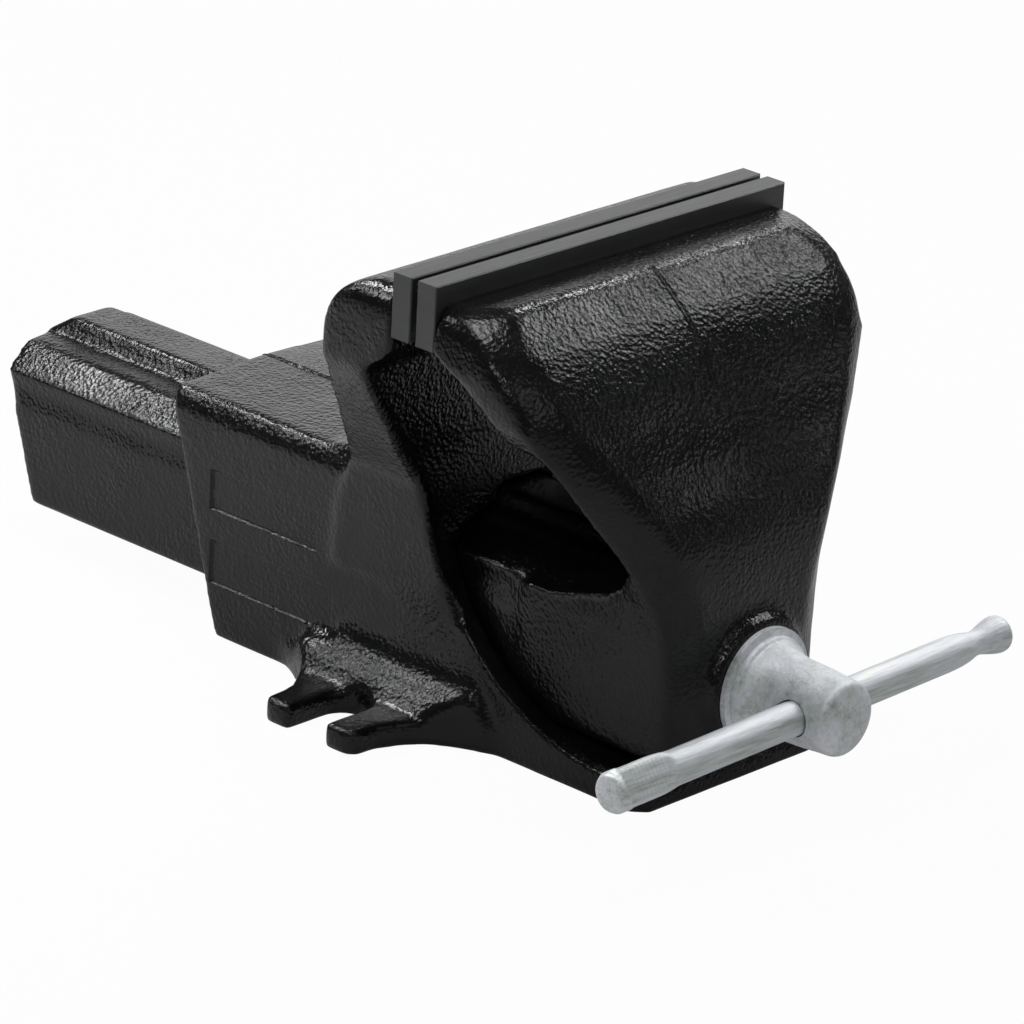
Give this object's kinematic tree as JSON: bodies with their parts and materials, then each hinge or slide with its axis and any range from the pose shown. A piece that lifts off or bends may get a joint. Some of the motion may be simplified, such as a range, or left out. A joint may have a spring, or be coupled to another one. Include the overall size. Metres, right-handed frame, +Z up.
{
  "type": "bench vise",
  "caption": "Engineer's bench vise with a box-shaped slide, wide flared jaws with steel jaw plates, slotted base lugs and a screw turned by a tommy bar.",
  "frame": {"origin": "on the bench face of the base, midway between the two slots of the base lugs", "axes": "+X along the width of the jaws, +Y from the handle to the rear of the slide, +Z up from the bench"},
  "size_m": [0.2292, 0.4395, 0.207],
  "materials": {
    "hammered_black_paint": "gloss",
    "plate_steel": "satin",
    "black_screw_steel": "satin",
    "zinc_steel": "satin",
    "plain_steel": "satin",
    "spring_steel": "satin",
    "nut_iron": "matte"
  },
  "bodies": {
    "base": {"fixed_body": "hammered_black_paint", "fixed_jaw_plate": "plate_steel", "fixed_plate_screws": "black_screw_steel", "spindle_nut": "nut_iron", "nut_bolts": "black_screw_steel", "nut_washers": "plain_steel", "nut_dowels": "plain_steel"},
    "sliding_jaw": {"movable_jaw": "hammered_black_paint", "movable_jaw_plate": "plate_steel", "movable_plate_screws": "black_screw_steel"},
    "screw": {"spindle": "zinc_steel", "front_thrust_washer": "zinc_steel", "rear_thrust_washer": "plain_steel", "back_off_spring": "spring_steel", "spring_seat_washer": "plain_steel", "split_pin": "plain_steel", "stop_collar": "plain_steel", "stop_pin": "spring_steel"},
    "handle": {"handle_bar": "zinc_steel"}
  },
  "joints": [
    {"name": "jaw_slide", "type": "slide", "parent": "base", "child": "sliding_jaw", "axis": [0, -1, 0], "range_m": [-0.00295, 0.18]},
    {"name": "spindle_turn", "type": "hinge", "parent": "sliding_jaw", "child": "screw", "pos_m": [0, -0.15, 0.0454], "axis": [0, -1, 0], "range_deg": [-212.5, 12960.5]},
    {"name": "handle_slide", "type": "slide", "parent": "screw", "child": "handle", "axis": [0.9998, 0, 0.0209], "range_m": [-0.0855, 0.069]}
  ],
  "couplings": [
    {"joint": "spindle_turn", "follows": "jaw_slide", "rad_per_m": 1256.6}
  ]
}
